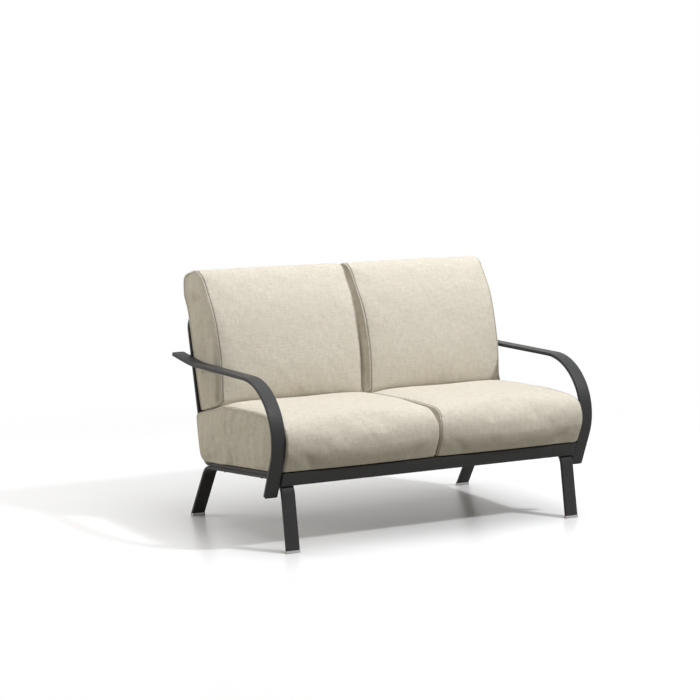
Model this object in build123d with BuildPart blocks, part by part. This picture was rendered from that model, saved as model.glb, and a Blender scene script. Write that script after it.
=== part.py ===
from build123d import *
import os
from math import cos, radians, sin, tan

os.makedirs("parts", exist_ok=True)

# Overall width and the two main slopes. The seat faces -Y, its arms stand at -X and +X, and the
# floor is Z = 0.
arm_span = 1320
seat_pitch = 4.9
back_lean = 14.2

# Flat bar of the arms, the leg bars and the front rail.
bar_width = 51
bar_thickness = 12.7
bar_crown = 0.8
bar_edge_radius = 2.5
overrun = 60

# Arms, in side view. The heights are those of the bar's top face and of its lower end.
arm_top_height = 583
arm_bend_start = -163.6
arm_upper_radius = 219
arm_upper_turn = 52
arm_lower_radius = 191
arm_lower_turn = 59.5
arm_end_height = 188
arm_tail_start = 202.9
arm_tail_radius = 600
arm_tail_rise = 8
arm_tail_end_y = 393.4
arm_corner_radius = 6

# Leg bars: one bent bar on each side, under the seat frame.
deck_height = 226.7
leg_inset = 5
leg_bend_radius = 60
front_foot_y = -372.1
front_leg_splay = 10
rear_foot_y = 355.4
rear_leg_splay = 31

# Glides under the feet.
glide_height = 9
glide_lip = 1.2
glide_corner_radius = 2
glide_edge_radius = 0.8
stem_diameter = 5
stem_length = 10
stem_clearance = 0.2
stem_spacing = 26

# Seat and back frame of narrower bar.
frame_width = 32
frame_bend_radius = 40
back_front_y = 244.4
post_height = 470
bow_rise = 91
bow_radius = 79
rail_center_height = 250
rail_advance = 5
end_plate_thickness = 3
end_plate_inset = 1
rear_rail_setback = 52
back_rail_height = 118

# Slats of the seat deck and of the back.
slat_width = 38
slat_thickness = 5
slat_edge_radius = 1.2
slat_sink = 2.3
seat_slats_per_side = 4
back_slat_count = 8

# Fasteners.
bolt_diameter = 6
bolt_clearance = 0.25
bolt_head_diameter = 12
bolt_head_height = 4
bolt_head_edge = 1
bolt_grip = 8
bolt_socket = 4
bolt_socket_depth = 2
leg_bolt_front_y = -170
leg_bolt_rear_y = 110
arm_bolt_grip = 14
spacer_diameter = 12

# Cushions. Seat outlines are (Y, Z) points, back outlines (depth, height) on the posts' plane.
rest_clearance = 0.4
cushion_gap = 0.6
seat_seam_inset = 10
back_seam_inset = 21
side_step_share = 0.35
side_draw_share = 0.4
crown_share = 0.75
seat_draw = 6
seat_crown = 8
seat_foot = (-368.1, 277.5)
seat_sill_y = -345.1
seat_drop_y = -316.1
seat_nose_under = (-397.8, 338)
seat_brow = (-396.6, 441)
seat_top = (-172.1, 456)
seat_lip_run = 14
seat_lip_rise = 3
seat_lip_crown = 8
seat_rest_height = 180
seat_rest_depth = 192
seat_rear_depth = 0.8
seat_foot_radius = 10
seat_under_radius = 70
seat_brow_radius = 72
seat_top_radius = 1500
seat_lip_radius = 10
seat_nape_radius = 14
seat_rear_radius = 38
seat_drop_radius = 20
back_draw = 13
back_crown = 17
back_rear_bulge = 30
back_rear_depth = 0.4
back_foot_depth = 177
back_chest = (211, 330)
back_shoulder = (203, 510)
back_brow = (135, 688)
back_nape = (34, 682)
back_hollow = (31, 560)
back_nape_share = 0.35
back_foot_radius = 24
back_chest_radius = 450
back_shoulder_radius = 330
back_brow_radius = 62
back_nape_radius = 24
back_hollow_radius = 200
back_heel_radius = 14


def meet(first, first_angle, second, second_angle):
    """Where two lines of the side view cross, each angle turned from +Y up towards +Z."""
    a, b = radians(first_angle), radians(second_angle)
    gap_y, gap_z = second[0] - first[0], second[1] - first[1]
    along = (gap_y * sin(b) - gap_z * cos(b)) / sin(b - a)
    return first[0] + along * cos(a), first[1] + along * sin(a)


def deck(y, rise=0):
    """Side-view point above y, a rise square to the pitched plane that the leg bars carry."""
    return y, deck_height - y * tan(radians(seat_pitch)) + rise / cos(radians(seat_pitch))


back_origin = deck(back_front_y, bar_thickness)


def back(depth, height):
    """Side-view point a depth ahead of the posts' front faces and a height up along them."""
    lean = radians(back_lean)
    return (
        back_origin[0] + height * sin(lean) - depth * cos(lean),
        back_origin[1] + height * cos(lean) + depth * sin(lean),
    )


# Arm line: the bend starts at the end of the level run and turns down and back.
arm_level = arm_top_height - bar_thickness / 2
arm_turn = radians(arm_upper_turn + arm_lower_turn)
arm_upper_end = (
    arm_bend_start - arm_upper_radius * sin(radians(arm_upper_turn)),
    arm_level - arm_upper_radius * (1 - cos(radians(arm_upper_turn))),
)
arm_lower_end = (
    arm_upper_end[0] + arm_lower_radius * (sin(radians(arm_upper_turn)) - sin(arm_turn)),
    arm_upper_end[1] - arm_lower_radius * (cos(radians(arm_upper_turn)) - cos(arm_turn)),
)
arm_lower_angle = arm_upper_turn + arm_lower_turn - 180
arm_inner_x = arm_span / 2 - bar_width
tail_bend_end = (
    arm_tail_start + arm_tail_radius * sin(radians(arm_tail_rise)),
    arm_level + arm_tail_radius * (1 - cos(radians(arm_tail_rise))),
)

# Front rail: parallel to the lower ends of the arms and a little ahead of them.
rail_up = (0, -sin(radians(90 + arm_lower_angle)), cos(radians(90 + arm_lower_angle)))
rail_back = (0, rail_up[2], -rail_up[1])
rail_line_point = (
    arm_lower_end[0] - rail_advance * rail_back[1],
    arm_lower_end[1] - rail_advance * rail_back[2],
)
rail_center = meet(rail_line_point, arm_lower_angle, (0, rail_center_height), 0)
rail_rear_point = Vector(0, *rail_center) + Vector(*rail_back) * bar_thickness / 2
rail_rear_plane = Plane(origin=rail_rear_point, x_dir=(1, 0, 0), z_dir=rail_back)

# Seat frame, leg bar and post places across the width, and the deck's start at the front rail.
frame_outer_x = arm_inner_x - leg_inset
frame_center_x = frame_outer_x - frame_width / 2
frame_inner_x = frame_outer_x - frame_width
leg_center_x = frame_outer_x - bar_width / 2
post_angle = 90 - back_lean
frame_corner = meet(deck(0, bar_thickness / 2), -seat_pitch, back(-bar_thickness / 2, 0), post_angle)
post_top = back(-bar_thickness / 2, post_height)
bow_height = post_height + bow_rise
deck_up = Vector(0, sin(radians(seat_pitch)), cos(radians(seat_pitch)))
deck_back = Vector(0, cos(radians(seat_pitch)), -sin(radians(seat_pitch)))
rail_rear_corner = (rail_rear_point.Y, rail_rear_point.Z)
deck_front = Vector(0, *meet(rail_rear_corner, arm_lower_angle, deck(0, bar_thickness / 2), -seat_pitch))
deck_start = deck_front - deck_back * overrun
arm_bolt_point = meet(tail_bend_end, arm_tail_rise, back(-bar_thickness / 2, 0), post_angle)


def bar_section(width):
    """Cross-section of a flat bar: a slightly crowned outer face over a flat inner one."""
    side_top = bar_thickness / 2 - bar_crown
    with BuildSketch() as section:
        with BuildLine():
            ThreePointArc((-width / 2, side_top), (0, bar_thickness / 2), (width / 2, side_top))
            Polyline(
                (width / 2, side_top),
                (width / 2, -bar_thickness / 2),
                (-width / 2, -bar_thickness / 2),
                (-width / 2, side_top),
            )
        make_face()
        fillet(section.vertices(), bar_edge_radius)
    return section.sketch


def corner_waste(width, radius):
    """What rounding the corners of a bar's end takes away, drawn from the end inwards."""
    with BuildSketch() as waste:
        Rectangle(width + radius, radius, align=(Align.CENTER, Align.MIN))
        RectangleRounded(width, 3 * radius, radius, align=(Align.CENTER, Align.MIN), mode=Mode.SUBTRACT)
    return waste.sketch


def bar_end_plane(point, outward):
    """Plane across the bar's face at its end, with its second axis pointing into the bar."""
    return Plane(origin=point, x_dir=(1, 0, 0), z_dir=Vector(1, 0, 0).cross(outward * -1))


# Arms: a flat bar with a rising tail, a level run and one long bend down to the front rail.
tail_tip_y = arm_tail_end_y - bar_thickness / 2 * sin(radians(arm_tail_rise))
tail_length = (tail_tip_y - tail_bend_end[0]) / cos(radians(arm_tail_rise))
tail_tip = (tail_tip_y, tail_bend_end[1] + tail_length * sin(radians(arm_tail_rise)))
drop_length = (arm_lower_end[1] - arm_end_height) / sin(radians(-arm_lower_angle))
for side, name in ((-1, "arm_left"), (1, "arm_right")):
    with BuildPart() as arm:
        with BuildLine(Plane.YZ.offset(side * (arm_span - bar_width) / 2)) as arm_line:
            tail = Line(tail_tip, tail_bend_end)
            tail_bend = JernArc(tail @ 1, tail % 1, arm_tail_radius, -arm_tail_rise)
            run = Line(tail_bend @ 1, (arm_bend_start, arm_level))
            upper_bend = JernArc(run @ 1, run % 1, arm_upper_radius, arm_upper_turn)
            lower_bend = JernArc(upper_bend @ 1, upper_bend % 1, arm_lower_radius, arm_lower_turn)
            Line(lower_bend @ 1, lower_bend @ 1 + (lower_bend % 1) * drop_length)
        arm_path = arm_line.line
        with BuildSketch(Plane(origin=arm_path @ 0, x_dir=(1, 0, 0), z_dir=arm_path % 0)):
            add(bar_section(bar_width))
        sweep(path=arm_path)
        tail_end = bar_end_plane(arm_path @ 0, (arm_path % 0) * -1)
        lower_end = bar_end_plane(arm_path @ 1, arm_path % 1)
        with BuildSketch(tail_end, lower_end):
            add(corner_waste(bar_width, arm_corner_radius))
        extrude(amount=bar_thickness, both=True, mode=Mode.SUBTRACT)
        # Blind hole in the inner edge for the bolt from the post.
        with BuildSketch(Plane.YZ.offset(side * arm_inner_x)):
            with Locations(arm_bolt_point):
                Circle(bolt_diameter / 2 + bolt_clearance)
        extrude(amount=side * (arm_bolt_grip + bolt_clearance), mode=Mode.SUBTRACT)
    arm.part.label = name
    export_step(arm.part, f"parts/{name}.step")

# Leg bars: one flat bar per side, bent twice into a front leg, a pitched run and a rear leg.
run_angle = -seat_pitch
run_point = deck(0, -bar_thickness / 2)
front_foot = (front_foot_y, glide_height)
rear_foot = (rear_foot_y, glide_height)
front_knee = meet(front_foot, 90 - front_leg_splay, run_point, run_angle)
rear_knee = meet(rear_foot, 90 + rear_leg_splay, run_point, run_angle)
front_leg_down = Vector(0, -sin(radians(front_leg_splay)), -cos(radians(front_leg_splay)))
rear_leg_down = Vector(0, sin(radians(rear_leg_splay)), -cos(radians(rear_leg_splay)))
for side, name in ((-1, "leg_bar_left"), (1, "leg_bar_right")):
    leg_x = side * leg_center_x
    front_toe = Vector(leg_x, *front_foot) + front_leg_down * overrun
    rear_toe = Vector(leg_x, *rear_foot) + rear_leg_down * overrun
    with BuildPart() as leg_bar:
        with BuildLine() as leg_line:
            FilletPolyline(
                rear_toe,
                Vector(leg_x, *rear_knee),
                Vector(leg_x, *front_knee),
                front_toe,
                radius=leg_bend_radius,
            )
        leg_path = leg_line.line
        with BuildSketch(Plane(origin=leg_path @ 0, x_dir=(1, 0, 0), z_dir=leg_path % 0)):
            add(bar_section(bar_width))
        sweep(path=leg_path)
        split(bisect_by=Plane.XY.offset(glide_height))
        # Stem holes of the two glides.
        for foot, down in ((front_foot, front_leg_down), (rear_foot, rear_leg_down)):
            below_foot = Vector(leg_x, *foot) + down * glide_height
            with BuildSketch(Plane(origin=below_foot, x_dir=(1, 0, 0), z_dir=down * -1)):
                with GridLocations(stem_spacing, 0, 2, 1):
                    Circle(stem_diameter / 2 + stem_clearance)
            extrude(amount=glide_height + stem_length + stem_clearance, mode=Mode.SUBTRACT)
        # Through holes for the bolts into the seat frame.
        for bolt_y in (leg_bolt_front_y, leg_bolt_rear_y):
            bolt_seat = (side * frame_center_x, *deck(bolt_y))
            with BuildSketch(Plane(origin=bolt_seat, x_dir=(1, 0, 0), z_dir=deck_up)):
                Circle(bolt_diameter / 2 + bolt_clearance)
            extrude(amount=bar_thickness + bolt_clearance, both=True, mode=Mode.SUBTRACT)
    leg_bar.part.label = name
    export_step(leg_bar.part, f"parts/{name}.step")

# Glides: a pad under each foot with two stems pressed up into the leg.
for side, foot, splay, down, name in (
    (-1, front_foot, front_leg_splay, front_leg_down, "glide_front_left"),
    (1, front_foot, front_leg_splay, front_leg_down, "glide_front_right"),
    (-1, rear_foot, rear_leg_splay, rear_leg_down, "glide_rear_left"),
    (1, rear_foot, rear_leg_splay, rear_leg_down, "glide_rear_right"),
):
    pad_width = bar_width + 2 * glide_lip
    pad_depth = bar_thickness / cos(radians(splay)) + 2 * glide_lip
    with BuildPart() as glide:
        with BuildSketch(Plane(origin=(side * leg_center_x, foot[0], 0))):
            RectangleRounded(pad_width, pad_depth, glide_corner_radius)
        extrude(amount=glide_height)
        fillet(glide.edges().group_by(Axis.Z)[0] + glide.edges().group_by(Axis.Z)[-1], glide_edge_radius)
        with BuildSketch(Plane(origin=(side * leg_center_x, *foot), x_dir=(1, 0, 0), z_dir=down * -1)):
            with GridLocations(stem_spacing, 0, 2, 1):
                Circle(stem_diameter / 2)
        extrude(amount=stem_length, both=True)
        split(bisect_by=Plane.XY)
    glide.part.label = name
    export_step(glide.part, f"parts/{name}.step")

# Front rail: a straight bar between the arms, leaning with their lower ends.
rail_half_length = arm_inner_x - end_plate_thickness
with BuildPart() as front_rail:
    with BuildSketch(Plane(origin=(-rail_half_length, *rail_center), x_dir=rail_up, z_dir=(1, 0, 0))):
        add(bar_section(bar_width))
    extrude(amount=2 * rail_half_length)
front_rail.part.label = "front_rail"
export_step(front_rail.part, "parts/front_rail.step")

# Plates between the rail's ends and the arms, set in so that they read as a dark joint.
for side, name in ((-1, "rail_end_plate_left"), (1, "rail_end_plate_right")):
    rail_end = (side * rail_half_length, *rail_center)
    with BuildPart() as end_plate:
        with BuildSketch(Plane(origin=rail_end, x_dir=rail_up, z_dir=(1, 0, 0))):
            RectangleRounded(
                bar_width - 2 * end_plate_inset,
                bar_thickness - 2 * end_plate_inset,
                bar_edge_radius - end_plate_inset,
            )
        extrude(amount=side * end_plate_thickness)
    end_plate.part.label = name
    export_step(end_plate.part, f"parts/{name}.step")

# Side frames: one bar on each side, the seat's side rail bent up into the post of the back.
for side, name in ((-1, "side_frame_left"), (1, "side_frame_right")):
    frame_x = side * frame_center_x
    with BuildPart() as side_frame:
        with BuildLine() as frame_line:
            FilletPolyline(
                Vector(frame_x, deck_start.Y, deck_start.Z),
                Vector(frame_x, *frame_corner),
                Vector(frame_x, *post_top),
                radius=frame_bend_radius,
            )
        frame_path = frame_line.line
        with BuildSketch(Plane(origin=frame_path @ 0, x_dir=(-1, 0, 0), z_dir=frame_path % 0)):
            add(bar_section(frame_width))
        sweep(path=frame_path)
        split(bisect_by=rail_rear_plane)
        for bolt_y in (leg_bolt_front_y, leg_bolt_rear_y):
            with BuildSketch(Plane(origin=(frame_x, *deck(bolt_y)), x_dir=(1, 0, 0), z_dir=deck_up)):
                Circle(bolt_diameter / 2 + bolt_clearance)
            extrude(amount=bolt_grip + bolt_clearance, mode=Mode.SUBTRACT)
        with BuildSketch(Plane.YZ.offset(frame_x)):
            with Locations(arm_bolt_point):
                Circle(bolt_diameter / 2 + bolt_clearance)
        extrude(amount=frame_width, both=True, mode=Mode.SUBTRACT)
    side_frame.part.label = name
    export_step(side_frame.part, f"parts/{name}.step")

# Back bow: the rounded upper end of the back, from post to post.
back_up = Vector(0, sin(radians(back_lean)), cos(radians(back_lean)))
bow_corner = back(-bar_thickness / 2, bow_height)
with BuildPart() as back_bow:
    with BuildLine() as bow_line:
        FilletPolyline(
            Vector(-frame_center_x, *post_top),
            Vector(-frame_center_x, *bow_corner),
            Vector(frame_center_x, *bow_corner),
            Vector(frame_center_x, *post_top),
            radius=bow_radius,
        )
    with BuildSketch(Plane(origin=bow_line.line @ 0, x_dir=(-1, 0, 0), z_dir=back_up)):
        add(bar_section(frame_width))
    sweep(path=bow_line.line)
back_bow.part.label = "back_bow"
export_step(back_bow.part, "parts/back_bow.step")

# Lower rail of the back, between the posts.
with BuildPart() as back_lower_rail:
    rail_start = (-frame_inner_x, *back(-bar_thickness / 2, back_rail_height))
    with BuildSketch(Plane(origin=rail_start, x_dir=back_up, z_dir=(1, 0, 0))):
        add(bar_section(frame_width))
    extrude(amount=2 * frame_inner_x)
back_lower_rail.part.label = "back_lower_rail"
export_step(back_lower_rail.part, "parts/back_lower_rail.step")

# Rear rail and centre bar of the seat deck.
rear_rail_center = Vector(0, *frame_corner) - deck_back * rear_rail_setback
with BuildPart() as rear_rail:
    rail_start = rear_rail_center - Vector(frame_inner_x, 0, 0)
    with BuildSketch(Plane(origin=rail_start, x_dir=deck_back, z_dir=(1, 0, 0))):
        add(bar_section(frame_width))
    extrude(amount=2 * frame_inner_x)
rear_rail.part.label = "rear_rail"
export_step(rear_rail.part, "parts/rear_rail.step")

deck_rear_point = rear_rail_center - deck_back * frame_width / 2
deck_length = (deck_rear_point - deck_front).length
with BuildPart() as center_bar:
    with BuildSketch(Plane(origin=deck_rear_point, x_dir=(1, 0, 0), z_dir=deck_back * -1)):
        add(bar_section(frame_width))
    extrude(amount=deck_length + overrun)
    split(bisect_by=rail_rear_plane)
center_bar.part.label = "center_bar"
export_step(center_bar.part, "parts/center_bar.step")

# Slats of the seat deck, at equal gaps from the front rail to the rear rail.
seat_slat_gap = (deck_length - seat_slats_per_side * slat_width) / (seat_slats_per_side + 1)
slat_level = bar_thickness / 2 - slat_sink - slat_thickness / 2
for side in (-1, 1):
    for row in range(seat_slats_per_side):
        reach = (row + 1) * seat_slat_gap + (row + 1 / 2) * slat_width
        slat_start = deck_front + deck_back * reach + deck_up * slat_level
        slat_start += Vector(side * frame_width / 2, 0, 0)
        name = f"seat_slat_{row + 1 + (side > 0) * seat_slats_per_side}"
        with BuildPart() as seat_slat:
            with BuildSketch(Plane(origin=slat_start, x_dir=deck_back, z_dir=(1, 0, 0))):
                RectangleRounded(slat_width, slat_thickness, slat_edge_radius)
            extrude(amount=side * (frame_inner_x - frame_width / 2))
        seat_slat.part.label = name
        export_step(seat_slat.part, f"parts/{name}.step")

# Slats of the back, upright at equal gaps between the posts.
back_slat_gap = (2 * frame_inner_x - back_slat_count * slat_width) / (back_slat_count + 1)
back_slat_foot = back(-slat_sink - slat_thickness / 2, back_rail_height + frame_width / 2)
for column in range(back_slat_count):
    slat_x = -frame_inner_x + (column + 1) * back_slat_gap + (column + 1 / 2) * slat_width
    name = f"back_slat_{column + 1}"
    with BuildPart() as back_slat:
        with BuildSketch(Plane(origin=(slat_x, *back_slat_foot), x_dir=(1, 0, 0), z_dir=back_up)):
            RectangleRounded(slat_width, slat_thickness, slat_edge_radius)
        extrude(amount=bow_height - back_rail_height - frame_width)
    back_slat.part.label = name
    export_step(back_slat.part, f"parts/{name}.step")

# Spacers that hold the arms off the posts.
for side, name in ((-1, "arm_spacer_left"), (1, "arm_spacer_right")):
    with BuildPart() as spacer:
        with BuildSketch(Plane.YZ.offset(side * frame_outer_x)):
            with Locations(arm_bolt_point):
                Circle(spacer_diameter / 2)
                Circle(bolt_diameter / 2 + bolt_clearance, mode=Mode.SUBTRACT)
        extrude(amount=side * leg_inset)
    spacer.part.label = name
    export_step(spacer.part, f"parts/{name}.step")

# Button-head bolts: from each post into the arm, and up through each leg bar into the seat frame.
arm_bolt_planes = [
    Plane(origin=(side * frame_inner_x, *arm_bolt_point), x_dir=(0, 1, 0), z_dir=(side, 0, 0))
    for side in (-1, 1)
]
leg_bolt_planes = [
    Plane(origin=(side * frame_center_x, *deck(bolt_y)), x_dir=(1, 0, 0), z_dir=deck_up)
    for side in (-1, 1)
    for bolt_y in (leg_bolt_front_y, leg_bolt_rear_y)
]
leg_bolt_planes = [plane.offset(-bar_thickness) for plane in leg_bolt_planes]
arm_bolt_length = frame_width + leg_inset + arm_bolt_grip
leg_bolt_length = bar_thickness + bolt_grip
for name, planes, length in (
    ("arm_bolts", arm_bolt_planes, arm_bolt_length),
    ("leg_bolts", leg_bolt_planes, leg_bolt_length),
):
    bolts_made = []
    for plane in planes:
        with BuildPart() as bolt:
            with BuildSketch(plane):
                Circle(bolt_head_diameter / 2)
            extrude(amount=-bolt_head_height)
            outer_edge = bolt.edges().filter_by(GeomType.CIRCLE).sort_by(Axis(plane.origin, plane.z_dir))[0]
            fillet(outer_edge, bolt_head_edge)
            with BuildSketch(plane.offset(-bolt_head_height)):
                RegularPolygon(bolt_socket / 2, 6, major_radius=False)
            extrude(amount=bolt_socket_depth, mode=Mode.SUBTRACT)
            with BuildSketch(plane):
                Circle(bolt_diameter / 2)
            extrude(amount=length)
        bolts_made.append(bolt.part)
    with BuildPart() as bolts:
        add(bolts_made)
    bolts.part.label = name
    export_step(bolts.part, f"parts/{name}.step")

# Cushion stations across X: how far in from the cell's edge, how far drawn in, and how far crowned.
# The side panels run out to the seams and the crowned panel spans from seam to seam.
cushion_width = arm_inner_x - cushion_gap


def station_groups(seam_inset):
    """Stations of the near side panel, of the crowned panel and of the far side panel."""
    side = ((0, 1, 0), (seam_inset * side_step_share, side_draw_share, 0), (seam_inset, 0, 0))
    quarter = (cushion_width - 2 * seam_inset) / 4
    crowned = (
        (seam_inset, 0, 0),
        (seam_inset + quarter, 0, crown_share),
        (cushion_width / 2, 0, 1),
        (cushion_width - seam_inset - quarter, 0, crown_share),
        (cushion_width - seam_inset, 0, 0),
    )
    far = tuple((cushion_width - inset, drawn, raised) for inset, drawn, raised in side[::-1])
    return side, crowned, far


# Seat cushions: waterfall front, crowned top, and a flat rest behind for the back cushion.
seat_base = bar_thickness + rest_clearance
seat_radii = (
    seat_drop_radius,
    seat_foot_radius,
    seat_foot_radius,
    seat_under_radius,
    seat_brow_radius,
    seat_top_radius,
    seat_lip_radius,
    seat_lip_radius,
    seat_nape_radius,
    seat_rear_radius,
)


def seat_outline(drawn, crowned):
    """Corners of the seat cushion's side view at one station."""
    draw = seat_draw * drawn
    lip = seat_lip_rise + seat_lip_crown * crowned
    rear_bottom = meet(deck(0, seat_base), -seat_pitch, back(seat_rear_depth + draw, 0), post_angle)
    return (
        deck(seat_drop_y, seat_base),
        (seat_sill_y, seat_foot[1]),
        (seat_foot[0] + draw, seat_foot[1]),
        (seat_nose_under[0] + draw, seat_nose_under[1]),
        (seat_brow[0] + draw, seat_brow[1] - draw),
        (seat_top[0], seat_top[1] - draw + seat_crown * crowned),
        back(seat_rest_depth + seat_lip_run, seat_rest_height + lip - draw),
        back(seat_rest_depth, seat_rest_height - draw),
        back(seat_rear_depth + draw, seat_rest_height - draw),
        rear_bottom,
    )


# Back cushions: full face, rounded head, and a rear panel that bulges back between its seams.
back_base = seat_rest_height + rest_clearance
back_radii = (
    back_heel_radius,
    back_foot_radius,
    back_chest_radius,
    back_shoulder_radius,
    back_brow_radius,
    back_nape_radius,
    back_hollow_radius,
)


def back_outline(drawn, crowned):
    """Corners of the back cushion's side view at one station, as depths and heights."""
    draw = back_draw * drawn
    face = back_crown * crowned - draw
    rear = -back_rear_bulge * crowned
    return (
        (back_rear_depth + back_rear_bulge + rear, back_base),
        (back_foot_depth + face * crown_share, back_base),
        (back_chest[0] + face, back_chest[1]),
        (back_shoulder[0] + face, back_shoulder[1]),
        (back_brow[0], back_brow[1] - draw),
        (back_nape[0] + rear * back_nape_share, back_nape[1] - draw),
        (back_hollow[0] + rear, back_hollow[1]),
    )


for side, place in ((-1, "left"), (1, "right")):
    near_x = side * cushion_gap / 2
    with BuildPart() as seat_cushion:
        for stations in station_groups(seat_seam_inset):
            for inset, drawn, crowned in stations:
                with BuildSketch(Plane.YZ.offset(near_x + side * inset)):
                    with BuildLine():
                        FilletPolyline(*seat_outline(drawn, crowned), radius=seat_radii, close=True)
                    make_face()
            loft()
    seat_cushion.part.label = f"seat_cushion_{place}"
    export_step(seat_cushion.part, f"parts/seat_cushion_{place}.step")

    with BuildPart() as back_cushion:
        for stations in station_groups(back_seam_inset):
            for inset, drawn, crowned in stations:
                station = Plane(
                    origin=(near_x + side * inset, *back_origin),
                    x_dir=(0, -cos(radians(back_lean)), sin(radians(back_lean))),
                    z_dir=(-1, 0, 0),
                )
                with BuildSketch(station):
                    with BuildLine():
                        FilletPolyline(*back_outline(drawn, crowned), radius=back_radii, close=True)
                    make_face()
            loft()
    back_cushion.part.label = f"back_cushion_{place}"
    export_step(back_cushion.part, f"parts/back_cushion_{place}.step")
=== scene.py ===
from math import cos, pi, radians, sin, tan

import bmesh
import bpy
import numpy as np
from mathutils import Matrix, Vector
from mathutils.bvhtree import BVHTree


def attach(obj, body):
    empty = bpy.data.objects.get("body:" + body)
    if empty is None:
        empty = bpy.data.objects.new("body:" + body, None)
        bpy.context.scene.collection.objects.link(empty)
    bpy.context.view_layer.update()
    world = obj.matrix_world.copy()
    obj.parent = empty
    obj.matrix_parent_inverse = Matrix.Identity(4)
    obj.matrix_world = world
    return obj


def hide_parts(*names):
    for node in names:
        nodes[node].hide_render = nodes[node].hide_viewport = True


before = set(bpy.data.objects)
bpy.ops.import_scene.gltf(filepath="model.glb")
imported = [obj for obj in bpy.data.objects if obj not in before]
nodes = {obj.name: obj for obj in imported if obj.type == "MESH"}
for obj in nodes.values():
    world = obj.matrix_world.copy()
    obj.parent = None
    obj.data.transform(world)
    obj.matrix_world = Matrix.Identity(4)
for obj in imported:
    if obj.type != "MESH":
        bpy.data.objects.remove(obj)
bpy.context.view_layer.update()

# The camera at the photograph's place: it looks at the seat's front from the left, a little from
# above, through a long lens.
scene = bpy.context.scene
scene.view_settings.view_transform = "Standard"
camera = bpy.data.objects.new("camera", bpy.data.cameras.new("camera"))
camera.location = (-4.0436, -6.7338, 1.6448)
camera.rotation_euler = (radians(82.515), 0, radians(-30.11))
camera.data.sensor_width = 36
camera.data.lens = 112.28
camera.data.clip_end = 60
scene.collection.objects.link(camera)
scene.camera = camera

# Bars of the frame: bent flat aluminium under a graphite powder coat with a fine orange-peel
# texture. The coat is a shade lighter along its edges in patches, partly rubbed wear and partly a
# painted highlight where the rounded edges catch the light, and holds a little dust in places.


def new_group(name, inputs, outputs):
    """An empty shader group with its sockets, and its two end nodes."""
    group = bpy.data.node_groups.new(name, "ShaderNodeTree")
    for label, kind, value in inputs:
        socket = group.interface.new_socket(label, in_out="INPUT", socket_type=kind)
        if value is not None:
            socket.default_value = value
    for label, kind in outputs:
        group.interface.new_socket(label, in_out="OUTPUT", socket_type=kind)
    return group, group.nodes.new("NodeGroupInput"), group.nodes.new("NodeGroupOutput")


def add_node(tree, kind, links=(), **values):
    """A node with its settings and input values, linked to the sockets that feed it."""
    node = tree.nodes.new(kind)
    for key, value in values.items():
        if hasattr(node, key):
            setattr(node, key, value)
        else:
            node.inputs[key.replace("_", " ")].default_value = value
    for socket, source in links:
        tree.links.new(source, node.inputs[socket])
    return node


def math_node(tree, operation, first, second=None):
    """A Math node between two sockets or numbers, as its output socket."""
    node = tree.nodes.new("ShaderNodeMath")
    node.operation = operation
    for place, value in enumerate((first, second)):
        if isinstance(value, (int, float)):
            node.inputs[place].default_value = value
        elif value is not None:
            tree.links.new(value, node.inputs[place])
    return node.outputs[0]


def ramp_node(tree, source, low, high, low_value=0.0, high_value=1.0):
    """A smooth step from low to high, as its output socket."""
    node = add_node(
        tree,
        "ShaderNodeMapRange",
        [("Value", source)],
        interpolation_type="SMOOTHSTEP",
        From_Min=low,
        From_Max=high,
        To_Min=low_value,
        To_Max=high_value,
    )
    return node.outputs["Result"]


def mix_colour(tree, factor, first, second):
    """A colour mix, as its output socket. The colours are sockets or tuples."""
    node = tree.nodes.new("ShaderNodeMix")
    node.data_type = "RGBA"
    tree.links.new(factor, node.inputs[0])
    for place, value in ((6, first), (7, second)):
        if isinstance(value, tuple):
            node.inputs[place].default_value = value
        else:
            tree.links.new(value, node.inputs[place])
    return node.outputs[2]


def noise_node(tree, place, scale, detail, roughness=0.5):
    """A Noise Texture over a place, as its output socket. The scale is a number or a socket."""
    node = add_node(tree, "ShaderNodeTexNoise", [("Vector", place)], Detail=detail, Roughness=roughness)
    if isinstance(scale, float):
        node.inputs["Scale"].default_value = scale
    else:
        tree.links.new(scale, node.inputs["Scale"])
    return node.outputs["Fac"]


def object_place(tree):
    """The place on the object, as an output socket."""
    return add_node(tree, "ShaderNodeTexCoord").outputs["Object"]


def new_material(name, **values):
    """A material with its Principled shader, given its plain values, and its tree."""
    material = bpy.data.materials.new(name)
    material.use_nodes = True
    shader = material.node_tree.nodes["Principled BSDF"]
    for key, value in values.items():
        shader.inputs[key.replace("_", " ")].default_value = value
    return material, material.node_tree, shader


def finish_node(name, material):
    """Gives a node of the model its finish."""
    for place in nodes[name].material_slots:
        place.material = material


powder_coat, given, made = new_group(
    "powder_coat",
    [("Coat", "NodeSocketColor", (0.05, 0.051, 0.055, 1)),
     ("Rubbed And Highlit", "NodeSocketColor", (0.12, 0.12, 0.125, 1)),
     ("Grain Scale", "NodeSocketFloat", 900.0),
     ("Edge Width", "NodeSocketFloat", 0.0016)],
    [("Color", "NodeSocketColor"), ("Roughness", "NodeSocketFloat"), ("Height", "NodeSocketFloat")],
)
place = object_place(powder_coat)
grain = noise_node(powder_coat, place, given.outputs["Grain Scale"], 2.0, 0.55)
cloud = noise_node(powder_coat, place, 9.0, 4.0)
fleck = noise_node(powder_coat, place, 260.0, 3.0)
bevel = add_node(powder_coat, "ShaderNodeBevel", [("Radius", given.outputs["Edge Width"])], samples=6)
flat = add_node(powder_coat, "ShaderNodeNewGeometry").outputs["Normal"]
turn = add_node(powder_coat, "ShaderNodeVectorMath", [(0, bevel.outputs[0]), (1, flat)],
                operation="DOT_PRODUCT")
# Painted highlight and wear: the bevelled edges are lightened in patches, partly for rubbed coat and
# partly for the light that the rounded edges catch.
edge = ramp_node(powder_coat, turn.outputs["Value"], 0.998, 0.93)
rubbed_and_highlit = math_node(powder_coat, "MULTIPLY", edge, ramp_node(powder_coat, fleck, 0.42, 0.62, 0.08, 0.45))
speckle = ramp_node(powder_coat, grain, 0.5, 0.72, 0.0, 0.3)
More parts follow.
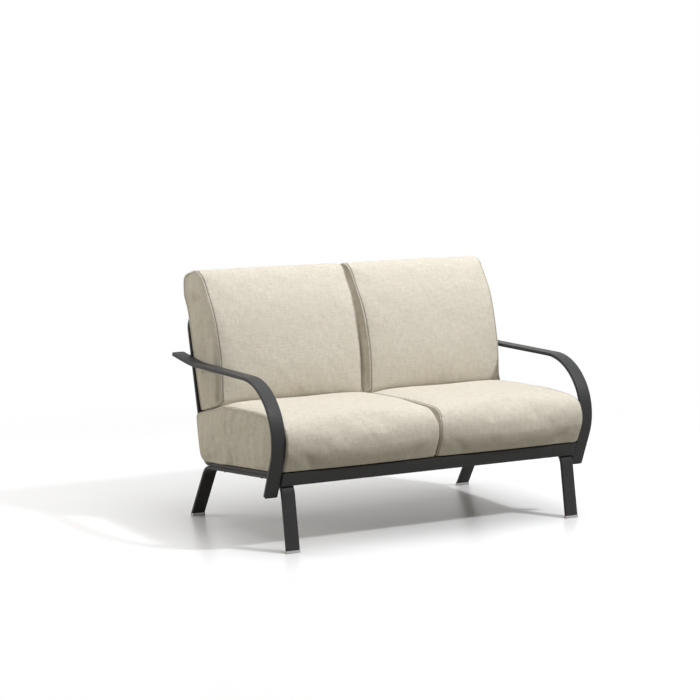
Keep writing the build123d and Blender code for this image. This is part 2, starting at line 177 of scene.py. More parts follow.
dust = ramp_node(powder_coat, cloud, 0.35, 0.75, 0.0, 0.16)
tone = given.outputs["Coat"]
for share in (rubbed_and_highlit, speckle, dust):
    tone = mix_colour(powder_coat, share, tone, given.outputs["Rubbed And Highlit"])
powder_coat.links.new(tone, made.inputs["Color"])
powder_coat.links.new(ramp_node(powder_coat, cloud, 0.3, 0.7, 0.4, 0.52), made.inputs["Roughness"])
powder_coat.links.new(grain, made.inputs["Height"])


def coated(name, coat, rubbed_and_highlit, grain_scale, bump):
    """A powder-coated finish in one colour."""
    material, tree, shader = new_material(name, Metallic=0.0, IOR=1.5, Specular_IOR_Level=0.15)
    layer = add_node(tree, "ShaderNodeGroup", node_tree=powder_coat)
    layer.inputs["Coat"].default_value = coat
    layer.inputs["Rubbed And Highlit"].default_value = rubbed_and_highlit
    layer.inputs["Grain Scale"].default_value = grain_scale
    relief = add_node(tree, "ShaderNodeBump", [("Height", layer.outputs["Height"])],
                      Strength=bump, Distance=0.0006)
    tree.links.new(layer.outputs["Color"], shader.inputs["Base Color"])
    tree.links.new(layer.outputs["Roughness"], shader.inputs["Roughness"])
    tree.links.new(relief.outputs["Normal"], shader.inputs["Normal"])
    return material


graphite = coated("graphite_powder_coat", (0.038, 0.0383, 0.039, 1), (0.075, 0.075, 0.076, 1),
                  grain_scale=700.0, bump=0.4)
for name in nodes:
    if not any(word in name for word in ("cushion", "glide", "bolt", "spacer", "plate")):
        finish_node(name, graphite)

# Joint pieces: plates between the front rail and the arms and spacers between the posts and the
# arms, coloured near-black as painted shade so they read as the shadowed gap at each joint, and
# black-oxide steel bolts with hexagon sockets.
gap_shade_black = coated("gap_shade_black", (0.012, 0.012, 0.013, 1), (0.03, 0.03, 0.032, 1),
                     grain_scale=700.0, bump=0.2)
for name in ("rail_end_plate_left", "rail_end_plate_right", "arm_spacer_left", "arm_spacer_right"):
    finish_node(name, gap_shade_black)
black_oxide, tree, shader = new_material("black_oxide_steel", Metallic=0.9,
                                         Base_Color=(0.05, 0.05, 0.052, 1))
smear = noise_node(tree, object_place(tree), 420.0, 4.0)
tree.links.new(ramp_node(tree, smear, 0.3, 0.7, 0.28, 0.5), shader.inputs["Roughness"])
for name in ("arm_bolts", "leg_bolts"):
    finish_node(name, black_oxide)

# Glides: injection-moulded pads of milky plastic pressed into the feet, scuffed where they slide.
# They let a little light through and stay pale under the dark legs.
milky, tree, shader = new_material("milky_plastic", IOR=1.46, Transmission_Weight=0.35,
                                   Subsurface_Weight=0.25, Subsurface_Scale=0.004)
place = object_place(tree)
height = add_node(tree, "ShaderNodeSeparateXYZ", [(0, place)]).outputs["Z"]
scuff = noise_node(tree, place, 300.0, 5.0)
worn = math_node(tree, "MULTIPLY", ramp_node(tree, height, 0.004, 0.0), ramp_node(tree, scuff, 0.4, 0.7))
tone = mix_colour(tree, worn, (0.82, 0.83, 0.84, 1), (0.5, 0.5, 0.49, 1))
tree.links.new(tone, shader.inputs["Base Color"])
tree.links.new(ramp_node(tree, scuff, 0.3, 0.7, 0.18, 0.4), shader.inputs["Roughness"])
for name in ("glide_front_left", "glide_front_right", "glide_rear_left", "glide_rear_right"):
    finish_node(name, milky)

# Cushion cloth: a beige solution-dyed yarn in plain weave. Thick slubs run along both the warp and
# the weft, so the cloth reads as a fine, uneven crosshatch. It puckers a little along its seams.
slub_weave, given, made = new_group(
    "slub_weave",
    [("Vector", "NodeSocketVector", None),
     ("Light Yarn", "NodeSocketColor", (0.75, 0.68, 0.56, 1)),
     ("Dark Yarn", "NodeSocketColor", (0.5, 0.43, 0.33, 1)),
     ("Thread", "NodeSocketFloat", 0.0014)],
    [("Color", "NodeSocketColor"), ("Roughness", "NodeSocketFloat"), ("Height", "NodeSocketFloat")],
)
across = add_node(slub_weave, "ShaderNodeSeparateXYZ", [(0, given.outputs["Vector"])])


def streaks(tree, x, y, along, over, seed, detail=3.0):
    """Slubs or folds as noise stretched along one direction of a flat map."""
    vector = add_node(tree, "ShaderNodeCombineXYZ", [
        ("X", math_node(tree, "MULTIPLY", x, along)),
        ("Y", math_node(tree, "MULTIPLY", y, over)),
    ], Z=seed)
    return noise_node(tree, vector.outputs[0], 1.0, detail, 0.6)


slub_layers = ((75.0, 520.0, 3.0, 0.22), (520.0, 85.0, 11.0, 0.20), (24.0, 215.0, 23.0, 0.27),
               (205.0, 26.0, 47.0, 0.25), (60.0, 60.0, 31.0, 0.06))
warp, weft = across.outputs["X"], across.outputs["Y"]
yarns = None
for along, over, seed, share in slub_layers:
    layer = math_node(slub_weave, "MULTIPLY", streaks(slub_weave, warp, weft, along, over, seed), share)
    yarns = layer if yarns is None else math_node(slub_weave, "ADD", yarns, layer)
threads = []
for axis in (warp, weft):
    turns = math_node(slub_weave, "DIVIDE", axis, given.outputs["Thread"])
    threads.append(math_node(slub_weave, "SINE", math_node(slub_weave, "MULTIPLY", turns, 2 * pi)))
crossing = math_node(slub_weave, "MULTIPLY", threads[0], threads[1])
yarn = math_node(slub_weave, "ADD", yarns, math_node(slub_weave, "MULTIPLY", crossing, 0.03))
tone = mix_colour(slub_weave, ramp_node(slub_weave, yarn, 0.34, 0.66), given.outputs["Light Yarn"],
                  given.outputs["Dark Yarn"])
wear = streaks(slub_weave, warp, weft, 7.0, 7.0, 83.0)
faded = mix_colour(slub_weave, ramp_node(slub_weave, wear, 0.35, 0.7, 0.0, 0.12), tone,
                   given.outputs["Light Yarn"])
slub_weave.links.new(faded, made.inputs["Color"])
slub_weave.links.new(ramp_node(slub_weave, yarns, 0.35, 0.65, 0.78, 0.92), made.inputs["Roughness"])
slub_weave.links.new(math_node(slub_weave, "ADD", math_node(slub_weave, "MULTIPLY", yarns, 1.6),
                               math_node(slub_weave, "MULTIPLY", crossing, 0.25)), made.inputs["Height"])


def woven(name, light, dark):
    """The cover cloth in one colourway, on the piece's own maps of the cloth and of its seams."""
    material, tree, shader = new_material(name, Sheen_Weight=0.1, Sheen_Roughness=0.5, IOR=1.4,
                                          Specular_IOR_Level=0.3)
    cloth_map = add_node(tree, "ShaderNodeUVMap", uv_map="cloth").outputs["UV"]
    weave = add_node(tree, "ShaderNodeGroup", [("Vector", cloth_map)], node_tree=slub_weave)
    weave.inputs["Light Yarn"].default_value = light
    weave.inputs["Dark Yarn"].default_value = dark
    seam_map = add_node(tree, "ShaderNodeUVMap", uv_map="seams").outputs["UV"]
    seam = add_node(tree, "ShaderNodeSeparateXYZ", [(0, seam_map)])
    away = math_node(tree, "ABSOLUTE", seam.outputs["X"])
    crease_and_seam_shade = ramp_node(tree, away, 0.0036, 0.001)
    # Painted shade: the cloth is darkened along each seam line where the crease's shadow falls; the same
    # mask also sinks the crease in the bump.
    shaded = mix_colour(tree, math_node(tree, "MULTIPLY", crease_and_seam_shade, 0.65), weave.outputs["Color"],
                        tuple(part * 0.45 for part in dark[:3]) + (1,))
    pull = streaks(tree, seam.outputs["X"], seam.outputs["Y"], 9.0, 62.0, 5.0, 1.0)
    pucker = math_node(tree, "MULTIPLY", math_node(tree, "SUBTRACT", pull, 0.5),
                       ramp_node(tree, away, 0.042, 0.004))
    flat_map = add_node(tree, "ShaderNodeSeparateXYZ", [(0, cloth_map)])
    folds = streaks(tree, flat_map.outputs["X"], flat_map.outputs["Y"], 15.0, 3.5, 9.0, 1.0)
    boxed = math_node(tree, "MULTIPLY", math_node(tree, "SUBTRACT", folds, 0.5),
                      ramp_node(tree, seam.outputs["X"], -0.008, -0.035))
    swells = streaks(tree, flat_map.outputs["X"], flat_map.outputs["Y"], 13.0, 13.0, 19.0, 2.0)
    heights = [(weave.outputs["Height"], 0.00028), (pucker, 0.0022), (boxed, 0.020), (swells, 0.0045),
               (crease_and_seam_shade, -0.0012)]
    relief = None
    for source, reach in heights:
        part = math_node(tree, "MULTIPLY", source, reach)
        relief = part if relief is None else math_node(tree, "ADD", relief, part)
    bump = add_node(tree, "ShaderNodeBump", [("Height", relief)], Strength=1.0, Distance=1.0)
    tree.links.new(shaded, shader.inputs["Base Color"])
    tree.links.new(weave.outputs["Roughness"], shader.inputs["Roughness"])
    tree.links.new(bump.outputs["Normal"], shader.inputs["Normal"])
    return material


cover_cloth = woven("beige_cover_cloth", (0.71, 0.665, 0.572, 1), (0.535, 0.492, 0.408, 1))

# Seat cushions: foam and fill in a boxed cover. The top panel runs over the front edge and under,
# and the side panels are sewn to it along the outline seen from the side.
seat_pitch = radians(4.9)
back_lean = radians(14.2)
deck_height = 0.2267
back_front_y = 0.2444
bar_thickness = 0.0127
cell_width = 0.6084
half_gap = 0.0003


def deck(y, rise=0.0):
    """Point of the side view above y, a rise square to the pitched seat frame."""
    return np.array((y, deck_height - y * tan(seat_pitch) + rise / cos(seat_pitch)))


back_origin = deck(back_front_y, bar_thickness)


def back(depth, height):
    """Point of the side view a depth ahead of the posts and a height up along them."""
    return back_origin + np.array((height * sin(back_lean) - depth * cos(back_lean),
                                   height * cos(back_lean) + depth * sin(back_lean)))


def path_lengths(path):
    """How far along a path each of its points lies."""
    return np.concatenate([[0], np.cumsum(np.linalg.norm(np.diff(path, axis=0), axis=1))])


def rounded_outline(corners, radii, step):
    """Evenly spaced points round a closed outline of straight runs with rounded corners."""
    corners = [np.asarray(corner, float) for corner in corners]
    path = []
    for place, radius in enumerate(radii):
        here = corners[place]
        before = corners[place - 1] - here
        after = corners[(place + 1) % len(corners)] - here
        before /= np.linalg.norm(before)
        after /= np.linalg.norm(after)
        half = np.arccos(np.clip(before @ after, -1, 1)) / 2
        middle = (before + after) / np.linalg.norm(before + after)
        centre = here + middle * radius / sin(half)
        start = here + before * radius / tan(half) - centre
        end = here + after * radius / tan(half) - centre
        sweep = np.arctan2(start[0] * end[1] - start[1] * end[0], start @ end)
        for angle in np.linspace(0, sweep, 12):
            path.append(centre + np.array((start[0] * cos(angle) - start[1] * sin(angle),
                                           start[0] * sin(angle) + start[1] * cos(angle))))
    path = np.array(path + path[:1])
    lengths = path_lengths(path)
    count = int(lengths[-1] / step)
    places = np.linspace(0, lengths[-1], count, endpoint=False)
    return np.stack([np.interp(places, lengths, path[:, axis]) for axis in (0, 1)], axis=1)


def outline_normals(outline):
    """Outward unit normals of a closed outline that runs clockwise or not."""
    along = np.roll(outline, -1, axis=0) - np.roll(outline, 1, axis=0)
    along /= np.linalg.norm(along, axis=1)[:, None]
    normals = np.stack([along[:, 1], -along[:, 0]], axis=1)
    inside = outline.mean(axis=0) - outline
    if (normals * inside).sum() > 0:
        normals = -normals
    return normals


def read_all(items, field, width=1, kind=float):
    """One field of a mesh's items as an array, in rows where the field has several values."""
    values = np.empty(len(items) * width, kind)
    items.foreach_get(field, values)
    return values.reshape(-1, width) if width > 1 else values


def write_map(mesh, name, values):
    """A UV map with one row for each corner of the mesh's faces."""
    mesh.uv_layers.new(name=name).data.foreach_set("uv", values.astype(np.float32).ravel())


def result_mesh(piece):
    """The piece with its modifiers applied, as a mesh of its own."""
    return bpy.data.meshes.new_from_object(piece.evaluated_get(bpy.context.evaluated_depsgraph_get()))


def boxed_cover(name, outline, swell, sides):
    """A closed boxed cover: panel rings from seam to seam, and side panels that belly outwards.

    Each side is the x of the cell's edge there, the insets of its seam and the inset of its middle."""
    normals = outline_normals(outline)
    centre = outline.mean(axis=0)
    rings = []
    shares = (0.0, 0.25, 0.5, 0.68, 0.82, 0.92, 0.97)
    (low_x, low_insets, low_middle), (high_x, high_insets, high_middle) = sides
    for share in shares:
        rings.append((low_x + low_middle + (low_insets - low_middle) * share ** 2,
                      centre + (outline - centre) * share))
    for across in np.linspace(0, 1, 41):
        crown = (1 - (2 * across - 1) ** 2) ** 0.75
        start, end = low_x + low_insets, high_x - high_insets
        rings.append((start + (end - start) * across, outline + normals * (swell * crown)[:, None]))
    for share in shares[::-1]:
        rings.append((high_x - high_middle - (high_insets - high_middle) * share ** 2,
                      centre + (outline - centre) * share))
    shell = bmesh.new()
    made = []
    for place, (x, ring) in enumerate(rings):
        if place in (0, len(rings) - 1):
            made.append([shell.verts.new((x[0], *centre))] * len(outline))
        else:
            made.append([shell.verts.new((x[spot], *point)) for spot, point in enumerate(ring)])
    for first, second in zip(made[:-1], made[1:]):
        for place in range(len(outline)):
            following = (place + 1) % len(outline)
            corners = [first[place], first[following], second[following], second[place]]
            corners = [corner for spot, corner in enumerate(corners) if corner not in corners[:spot]]
            shell.faces.new(corners)
    bmesh.ops.recalc_face_normals(shell, faces=shell.faces)
    mesh = bpy.data.meshes.new(name)
    shell.to_mesh(mesh)
    shell.free()
    return mesh


def nearest_on(outline, points):
    """For each side-view point, the nearest place on the outline, its distance and how far along."""
    batch = 4000
    place = np.empty(len(points), int)
    away = np.empty(len(points))
    for start in range(0, len(points), batch):
        part = points[start:start + batch]
        gaps = np.linalg.norm(part[:, None] - outline[None], axis=2)
        place[start:start + batch] = gaps.argmin(axis=1)
        away[start:start + batch] = gaps.min(axis=1)
    return place, away, path_lengths(outline)[place]


def soften(mesh, moved, rounds, kept):
    """Evens out a field over the mesh and keeps only a share of its fine part."""
    edges = read_all(mesh.edges, "vertices", 2, int)
    first, second = edges.T
    count = len(moved)
    degree = np.bincount(edges.ravel(), minlength=count)[:, None]
    smooth = moved.copy()
    for _ in range(rounds):
        total = np.stack([np.bincount(first, part[second], count)
                          + np.bincount(second, part[first], count) for part in smooth.T], axis=1)
        smooth = 0.4 * smooth + 0.6 * total / degree
    return smooth + (moved - smooth) * kept


def fill_cushion(name, outline, swell, sides):
    """Remeshes the boxed cover and swells it as cloth, with its seams held where they are sewn."""
    voxel, pressure, farthest = 0.008, 4.0, 0.016
    piece = bpy.data.objects.new(name, boxed_cover(name, outline, swell, sides))
    scene.collection.objects.link(piece)
    remesh = piece.modifiers.new("remesh", "REMESH")
    remesh.mode = "VOXEL"
    remesh.voxel_size = voxel
    even = result_mesh(piece)
    piece.modifiers.clear()
    piece.data = even
    before = read_all(even.vertices, "co", 3)
    sewn = piece.vertex_groups.new(name="sewn")
    place, away, _ = nearest_on(outline, before[:, 1:])
    (low_x, low_insets, _), (high_x, high_insets, _) = sides
    off_seam = np.minimum(abs(before[:, 0] - low_x - low_insets[place]),
                          abs(before[:, 0] - high_x + high_insets[place]))
    held = np.flatnonzero(np.hypot(off_seam, away) < 0.75 * voxel)
    sewn.add(held.tolist(), 1.0, "REPLACE")
    cloth = piece.modifiers.new("cloth", "CLOTH")
    cloth.settings.vertex_group_mass = "sewn"
    cloth.settings.use_pressure = True
    cloth.settings.uniform_pressure_force = pressure
    cloth.settings.shrink_min = -0.004
    cloth.settings.tension_stiffness = 12
    cloth.settings.bending_stiffness = 4.0
    cloth.settings.effector_weights.gravity = 0
    for step in range(1, 21):
        scene.frame_set(step)
    swollen = result_mesh(piece)
    piece.modifiers.clear()
    piece.vertex_groups.clear()
    scene.frame_set(1)
    moved = soften(even, read_all(swollen.vertices, "co", 3) - before, rounds=14, kept=0.35)
    length = np.linalg.norm(moved, axis=1)
    capped = farthest * np.tanh(length / farthest) / np.maximum(length, 1e-9)
    before = before + moved * capped[:, None]
    even.vertices.foreach_set("co", before.ravel())
    even.update()
    return piece


side_panel_shift = 5.0


def lay_cloth(piece, outline, sides, lean, tightness):
    """Maps the cloth along its panels, and maps how far each point lies from the nearest seam."""
    mesh = piece.data
    points = read_all(mesh.vertices, "co", 3)
    x, y, z = points.T
    place, away, along = nearest_on(outline, points[:, 1:])
    spots = read_all(mesh.loops, "vertex_index", kind=int)
    totals = read_all(mesh.polygons, "loop_total", kind=int)
    on_side = np.repeat(abs(read_all(mesh.polygons, "normal", 3)[:, 0]) > 0.72, totals)
    spread = np.stack([x, along], axis=1)[spots]
    turned = np.stack([y * cos(lean) - z * sin(lean), y * sin(lean) + z * cos(lean)], axis=1)[spots]
    spread[on_side] = turned[on_side] + side_panel_shift
    write_map(mesh, "cloth", spread)
    (low_x, low_insets, _), (high_x, high_insets, _) = sides
    from_seam = np.minimum(x - low_x - low_insets[place], high_x - high_insets[place] - x)
    sideways = abs(read_all(mesh.vertices, "normal", 3)[:, 0]) > 0.6
    from_seam = np.where(sideways, -away, np.maximum(from_seam, 0))
    write_map(mesh, "seams", np.stack([from_seam * tightness, along], axis=1)[spots])


def dress_cushion(piece, name, points):
    piece.data.vertices.foreach_set("co", points.ravel())
    piece.data.update()
    piece.data.shade_smooth()
    piece.data.materials.clear()
    piece.data.materials.append(cover_cloth)
    fine = piece.modifiers.new("fine", "SUBSURF")
    fine.levels = fine.render_levels = 1
    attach(piece, "root")
    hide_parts(name)


def posts_view(points):
    """Depths ahead of the posts and heights up along them, for points of the model."""
    y, z = points[:, 1] - back_origin[0], points[:, 2] - back_origin[1]
    return z * sin(back_lean) - y * cos(back_lean), y * sin(back_lean) + z * cos(back_lean)


def along_posts(points, deeper, higher):
    """Moves points ahead of the posts and up along them."""
    points[:, 1] += higher * sin(back_lean) - deeper * cos(back_lean)
    points[:, 2] += higher * cos(back_lean) + deeper * sin(back_lean)


def cushion_sides(side, inner, outer):
    """A cushion's two sides in its cell, each with its cell's edge, seam insets and middle inset."""
    low_x, high_x = sorted((side * half_gap, side * (half_gap + cell_width)))
    if side < 0:
        return (low_x, *outer), (high_x, *inner)
    return (low_x, *inner), (high_x, *outer)


rail_top = 0.2776
shelf_height = 0.1797
arm_clear_start, arm_clear_end = -0.345, -0.300
pressed_corner_x, pressed_corner_y = 0.580, -0.320
seat_flange = (0.0030, 0.0007)
outline_step = 0.006
seat_corners = {
    "rear, on the deck": (deck(0.2418, bar_thickness + 0.0006), 0.038),
    "front end of the deck": (deck(-0.3161, bar_thickness + 0.0006), 0.02),
    "rear edge of the rail": ((-0.3451, 0.2779), 0.008),
    "front edge, on the rail": ((-0.3630, 0.2779), 0.008),
    "foot of the front": ((-0.3938, 0.345), 0.07),
    "brow of the front": ((-0.3926, 0.446), 0.072),
    "crown": ((-0.1721, 0.456), 1.2),
    "toe of the back cushion": (back(0.206, 0.181), 0.01),
    "front of the shelf": (back(0.192, 0.1785), 0.01),
    "rear of the shelf": (back(0.0015, 0.1785), 0.008),
}
seat_outline = rounded_outline(*zip(*seat_corners.values()), outline_step)
seams_to_sew = []
for side, place in ((-1, "left"), (1, "right")):
    normals = outline_normals(seat_outline)
    swell = 0.005 * np.clip(normals[:, 1], 0, 1) + 0.008 * np.clip(-normals[:, 0], 0, 1)
    swell *= 1 - np.clip((seat_outline[:, 0] - 0.06) / 0.05, 0, 1)
    brow = np.clip((-0.06 - seat_outline[:, 0]) / 0.2, 0, 1) * np.clip(normals[:, 1] * 1.5 - 0.2, 0, 1)
    shelf = np.clip((seat_outline[:, 0] - 0.05) / 0.03, 0, 1)
    insets = 0.003 + 0.008 * brow
    outer_insets = 0.006 - 0.006 * np.clip(-normals[:, 0] * 1.5, 0, 1) - 0.005 * shelf
    rear_foot = np.clip((0.42 - seat_outline[:, 1]) / 0.12, 0, 1)
    outer_insets = outer_insets - (0.007 + 0.007 * rear_foot) * np.clip(normals[:, 0] * 1.5, 0, 1)
    sides = cushion_sides(side, (insets, 0.001), (outer_insets, -0.008))
    name = f"seat_cushion_{place}"
    piece = fill_cushion(name + "_cover", seat_outline, swell, sides)
    points = read_all(piece.data.vertices, "co", 3)
    # The cushion is flat where it rests on the frame, under the back cushion and beside the arm. Its
    # weight presses it onto the frame, most at the outer front corner.
    rest = deck_height - points[:, 1] * tan(seat_pitch) + (bar_thickness + 0.0004) / cos(seat_pitch)
    rest = np.where(points[:, 1] < -0.335, np.maximum(rest, rail_top), rest)
    gap = points[:, 2] - rest
    corner = (np.clip((side * points[:, 0] - pressed_corner_x) / 0.02, 0, 1)
              * np.clip((pressed_corner_y - points[:, 1]) / 0.02, 0, 1))
    pressed = (0.005 + 0.005 * corner) * np.exp(-np.maximum(gap, 0) / 0.008)
    points[:, 2] = rest + np.maximum(gap - pressed, 0)
    depth, height = posts_view(points)
    along_posts(points, np.maximum(0.0015 - depth, 0), 0)
    depth, height = posts_view(points)
    along_posts(points, 0, np.where(depth < 0.190, np.minimum(shelf_height - height, 0), 0))
    behind_arm = np.clip((points[:, 1] - arm_clear_start) / (arm_clear_end - arm_clear_start), 0, 1)
    at_rear = np.clip((points[:, 1] - 0.05) / 0.1, 0, 1)
    outer = half_gap + cell_width - 0.0002 + 0.009 * behind_arm + 0.006 * at_rear
    points[:, 0] = side * np.clip(points[:, 0] * side, half_gap + 0.0001, outer)
    lay_cloth(piece, seat_outline, sides, lean=0.0, tightness=2.0)
    dress_cushion(piece, name, points)
    seams_to_sew.append((name, piece, seat_outline, sides, *seat_flange))

# Back cushions: the same boxed cover stood on end. Its face rolls over the top, its side panels
# slope in towards the face, and its soft rear panel bulges back against the slats.
back_corners = {
    "heel": (back(0.031, 0.181), 0.008),
    "toe": (back(0.176, 0.181), 0.024),
    "chest": (back(0.2085, 0.330), 0.6),
    "below the brow": (back(0.201, 0.510), 0.4),
    "brow": (back(0.135, 0.686), 0.060),
    "rear of the top": (back(0.037, 0.688), 0.030),
    "above the bow": (back(0.018, 0.648), 0.05),
    "over the bow": (back(0.005, 0.602), 0.05),
    "under the bow": (back(0.018, 0.552), 0.1),
}
back_outline = rounded_outline(*zip(*back_corners.values()), outline_step)
heel_height, bow_height, top_height = 0.1805, 0.575, 0.6815
arm_underside = 0.552
back_flange = (0.0048, 0.0014)
for side, place in ((-1, "left"), (1, "right")):
    normals = outline_normals(back_outline)
    forward = normals @ np.array((-cos(back_lean), sin(back_lean)))
    upward = normals @ np.array((sin(back_lean), cos(back_lean)))
    swell = 0.010 * np.clip(forward, 0, 1) + 0.020 * np.clip(-forward, 0, 1)
    faced = np.clip(0.5 + forward + 0.6 * upward, 0, 1)
    top = 0.010 * np.clip(upward * 1.6, 0, 1)
    insets, outer_insets = 0.004 + 0.017 * faced - top, 0.0002 + (0.0195 + 0.0025 * side) * faced - top
    sides = cushion_sides(side, (insets, 0.001), (outer_insets, -0.007))
    name = f"back_cushion_{place}"
    piece = fill_cushion(name + "_cover", back_outline, swell, sides)
    points = read_all(piece.data.vertices, "co", 3)
    # It stops at the slats behind, and stands proud of the cell above the bow and under the arm.
    depth, height = posts_view(points)
    above = np.clip((height - bow_height) / 0.03, 0, 1)
    along_posts(points, np.maximum(0.0008 - 0.012 * above - depth, 0),
                np.maximum(heel_height - height, 0) - 0.8 * np.maximum(height - top_height, 0))
    ahead = np.clip((depth - 0.012) / 0.03, 0, 1)
    below = np.clip((arm_underside - points[:, 2]) / 0.02, 0, 1)
    outer = half_gap + cell_width - 0.0001 + np.maximum(0.006 * above, 0.011 * below * ahead)
    points[:, 0] = side * np.clip(points[:, 0] * side, half_gap + 0.0001, outer)
    lay_cloth(piece, back_outline, sides, lean=back_lean, tightness=1.0)
    dress_cushion(piece, name, points)
    seams_to_sew.append((name, piece, back_outline, sides, *back_flange))

# Seam flanges: where a side panel is sewn to the long panel, the two layers of cloth inside the
# seam are turned towards the side panel and held flat by one row of topstitching.


def seam_path(surface, outline, insets, seam_x, inward, offset):
    """Points and normals on the finished cushion, along its seam and an offset down the side panel."""
    inner = outline - outline_normals(outline) * offset
    path = []
    for (y, z), inset in zip(inner, insets):
        guess = Vector((seam_x + inward * (inset - 0.5 * offset), y, z))
        place, normal, _, _ = surface.find_nearest(guess)
        path.append((*place, *normal))
    path = np.array(path)
    for _ in range(4):
        path = (np.roll(path, 1, axis=0) + 2 * path + np.roll(path, -1, axis=0)) / 4
    path[:, 3:] /= np.linalg.norm(path[:, 3:], axis=1)[:, None]
    return path


def flange_mesh(name, paths, half_width, half_height):
    """A flat bead of cloth along each closed path, its section an ellipse on the surface."""
    corners, faces = [], []
    lift = 0.0004
    turns = np.linspace(0, 2 * pi, 10, endpoint=False)
    for path in paths:
        start = len(corners)
        along = np.roll(path[:, :3], -1, axis=0) - np.roll(path[:, :3], 1, axis=0)
        sideways = np.cross(along, path[:, 3:])
        sideways /= np.linalg.norm(sideways, axis=1)[:, None]
        for spot in range(len(path)):
            for turn in turns:
                corners.append(path[spot, :3] + path[spot, 3:] * (half_height * sin(turn) + lift)
                               + sideways[spot] * half_width * cos(turn))
        for spot in range(len(path)):
            here, there = start + spot * len(turns), start + (spot + 1) % len(path) * len(turns)
            for turn in range(len(turns)):
                following = (turn + 1) % len(turns)
                faces.append((here + turn, here + following, there + following, there + turn))
    mesh = bpy.data.meshes.new(name)
    mesh.from_pydata(corners, [], faces)
    shell = bmesh.new()
    shell.from_mesh(mesh)
    bmesh.ops.recalc_face_normals(shell, faces=shell.faces)
    shell.to_mesh(mesh)
    shell.free()
    mesh.shade_smooth()
    return mesh


flange_shift = 7.0
stitch_paths = {}
for name, piece, outline, sides, half_width, half_height in seams_to_sew:
    surface = BVHTree.FromObject(piece, bpy.context.evaluated_depsgraph_get())
    paths = [seam_path(surface, outline, insets, x, inward, half_width + 0.0012)
             for (x, insets, _), inward in zip(sides, (1, -1))]
    mesh = flange_mesh(name + "_flange", paths, half_width, half_height)
    spots = read_all(mesh.loops, "vertex_index", kind=int)
    write_map(mesh, "cloth", read_all(mesh.vertices, "co", 3)[spots][:, 1:] + flange_shift)
    write_map(mesh, "seams", np.tile((-0.05, 0.0), (len(spots), 1)))
    mesh.materials.append(cover_cloth)
    flange = bpy.data.objects.new(name + "_flange", mesh)
    scene.collection.objects.link(flange)
    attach(flange, "root")
    stitch_paths[name] = [np.hstack([path[:, :3] + path[:, 3:] * (half_height + 0.0003), path[:, 3:]])
                          for path in paths]

# Topstitching: a row of short stitches in a thread one shade darker than the cloth, along the
# middle of each flange.
thread, tree, shader = new_material("stitch_thread", Roughness=0.55)
twist = noise_node(tree, object_place(tree), 900.0, 2.0)
tone = mix_colour(tree, twist, (0.5, 0.45, 0.36, 1), (0.36, 0.32, 0.25, 1))
tree.links.new(tone, shader.inputs["Base Color"])

stitch_row = bpy.data.node_groups.new("stitch_row", "GeometryNodeTree")
stitch_row.is_modifier = True
stitch_sizes = {"Pitch": 0.0048, "Stitch Length": 0.0036, "Thread Width": 0.0009}
stitch_row.interface.new_socket("Path", in_out="INPUT", socket_type="NodeSocketGeometry")
sockets = {label: stitch_row.interface.new_socket(label, in_out="INPUT", socket_type="NodeSocketFloat")
           for label in stitch_sizes}
sockets["Thread"] = stitch_row.interface.new_socket("Thread", in_out="INPUT",
                                                    socket_type="NodeSocketMaterial")
stitch_row.interface.new_socket("Stitches", in_out="OUTPUT", socket_type="NodeSocketGeometry")
given = stitch_row.nodes.new("NodeGroupInput")
made = stitch_row.nodes.new("NodeGroupOutput")
line = add_node(stitch_row, "GeometryNodeMeshToCurve", [("Mesh", given.outputs["Path"])])
spaced = add_node(stitch_row, "GeometryNodeResampleCurve",
                  [("Curve", line.outputs[0]), ("Length", given.outputs["Pitch"])], mode="LENGTH")
bead = add_node(stitch_row, "GeometryNodeMeshUVSphere", Segments=6, Rings=4, Radius=0.5)
shape = add_node(stitch_row, "ShaderNodeCombineXYZ", [
    ("X", given.outputs["Stitch Length"]),
    ("Y", given.outputs["Thread Width"]),
    ("Z", given.outputs["Thread Width"]),
])
stitch = add_node(stitch_row, "GeometryNodeTransform",
                  [("Geometry", bead.outputs[0]), ("Scale", shape.outputs[0])])
heading = add_node(stitch_row, "GeometryNodeInputTangent")
turned = add_node(stitch_row, "FunctionNodeAlignRotationToVector",
                  [("Vector", heading.outputs[0])], axis="X")
placed = add_node(stitch_row, "GeometryNodeInstanceOnPoints", [
    ("Points", spaced.outputs[0]), ("Instance", stitch.outputs[0]), ("Rotation", turned.outputs[0])])
solid = add_node(stitch_row, "GeometryNodeRealizeInstances", [("Geometry", placed.outputs[0])])
finished = add_node(stitch_row, "GeometryNodeSetMaterial",
                    [("Geometry", solid.outputs[0]), ("Material", given.outputs["Thread"])])
stitch_row.links.new(finished.outputs[0], made.inputs["Stitches"])

for name, paths in stitch_paths.items():
    corners = np.vstack([path[:, :3] for path in paths])
    edges, start = [], 0
    for path in paths:
        edges += [(start + spot, start + (spot + 1) % len(path)) for spot in range(len(path))]
        start += len(path)
    mesh = bpy.data.meshes.new(name + "_stitches")
    mesh.from_pydata(corners, edges, [])
    row = bpy.data.objects.new(name + "_stitches", mesh)
    scene.collection.objects.link(row)
    sewing = row.modifiers.new("sewing", "NODES")
    sewing.node_group = stitch_row
    for label, size in stitch_sizes.items():
        sewing[sockets[label].identifier] = size
    sewing[sockets["Thread"].identifier] = thread
    row.data = result_mesh(row)
    row.modifiers.clear()
    row.data.shade_smooth()
    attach(row, "root")

# Floor and light: a pale studio floor that keeps the seat's shadow and fades into a white backdrop,
# a key lamp from the right front, a wide soft box overhead, a weak warm lamp behind on the left, and
# an even, weaker surround.
floor_mesh = bpy.data.meshes.new("floor")
floor_mesh.from_pydata([(-14, -14, 0), (14, -14, 0), (14, 20, 0), (-14, 20, 0)], [], [(0, 1, 2, 3)])
floor = bpy.data.objects.new("floor", floor_mesh)
scene.collection.objects.link(floor)


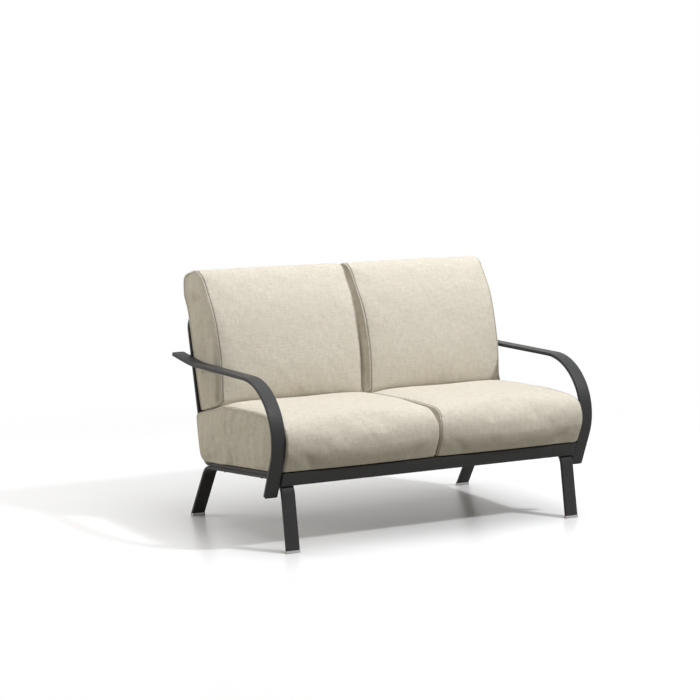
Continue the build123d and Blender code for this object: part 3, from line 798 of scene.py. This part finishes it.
def seen_rays(tree):
    """1 for the camera's rays and those of gloss and clear plastic, 0 for soft light, as a socket."""
    rays = add_node(tree, "ShaderNodeLightPath").outputs
    bright = math_node(tree, "MAXIMUM", rays["Is Glossy Ray"], rays["Is Transmission Ray"])
    return math_node(tree, "MAXIMUM", rays["Is Camera Ray"], bright)


floor_paint, tree, shader = new_material("floor_paint", Roughness=0.3, Specular_IOR_Level=0.3)
white = add_node(tree, "ShaderNodeEmission", Color=(1, 1, 1, 1), Strength=1.0)
seen = seen_rays(tree)
tone = mix_colour(tree, seen, (0.24, 0.228, 0.188, 1), (0.98, 0.98, 0.985, 1))
tree.links.new(tone, shader.inputs["Base Color"])
reach = add_node(tree, "ShaderNodeVectorMath", [(0, object_place(tree))], operation="LENGTH")
fade = math_node(tree, "MULTIPLY", ramp_node(tree, reach.outputs["Value"], 1.0, 3.0), seen)
blend = add_node(tree, "ShaderNodeMixShader", [(0, fade), (1, shader.outputs[0]), (2, white.outputs[0])])
tree.links.new(blend.outputs[0], tree.nodes["Material Output"].inputs["Surface"])
floor_mesh.materials.append(floor_paint)

world = bpy.data.worlds.new("studio")
scene.world = world
world.use_nodes = True
tree = world.node_tree
surround = tree.nodes["Background"]
surround.inputs["Color"].default_value = (1, 0.975, 0.93, 1)
surround.inputs["Strength"].default_value = 0.155
backdrop = add_node(tree, "ShaderNodeBackground", Color=(1, 1, 1, 1), Strength=1.0)
blend = add_node(tree, "ShaderNodeMixShader",
                 [(0, seen_rays(tree)), (1, surround.outputs[0]), (2, backdrop.outputs[0])])
tree.links.new(blend.outputs[0], tree.nodes["World Output"].inputs["Surface"])


def studio_lamp(name, place, size, power, colour):
    """A square soft lamp that points at the middle of the seat."""
    lamp = bpy.data.lights.new(name, "AREA")
    lamp.color = colour
    lamp.shape = "SQUARE"
    lamp.size = size
    lamp.energy = power
    holder = bpy.data.objects.new(name, lamp)
    holder.location = place
    towards_seat = Vector((0, 0, 0.4)) - Vector(place)
    holder.rotation_euler = towards_seat.to_track_quat("-Z", "Y").to_euler()
    scene.collection.objects.link(holder)


studio_lamp("key_lamp", (3.6, -4.8, 6.6), size=0.8, power=355, colour=(0.985, 0.99, 1))
studio_lamp("soft_box", (0.3, -0.4, 4.2), size=4.4, power=172, colour=(0.975, 0.985, 1))
studio_lamp("side_fill", (-3.7, 2.2, 1.3), size=2.0, power=62, colour=(1, 0.955, 0.87))
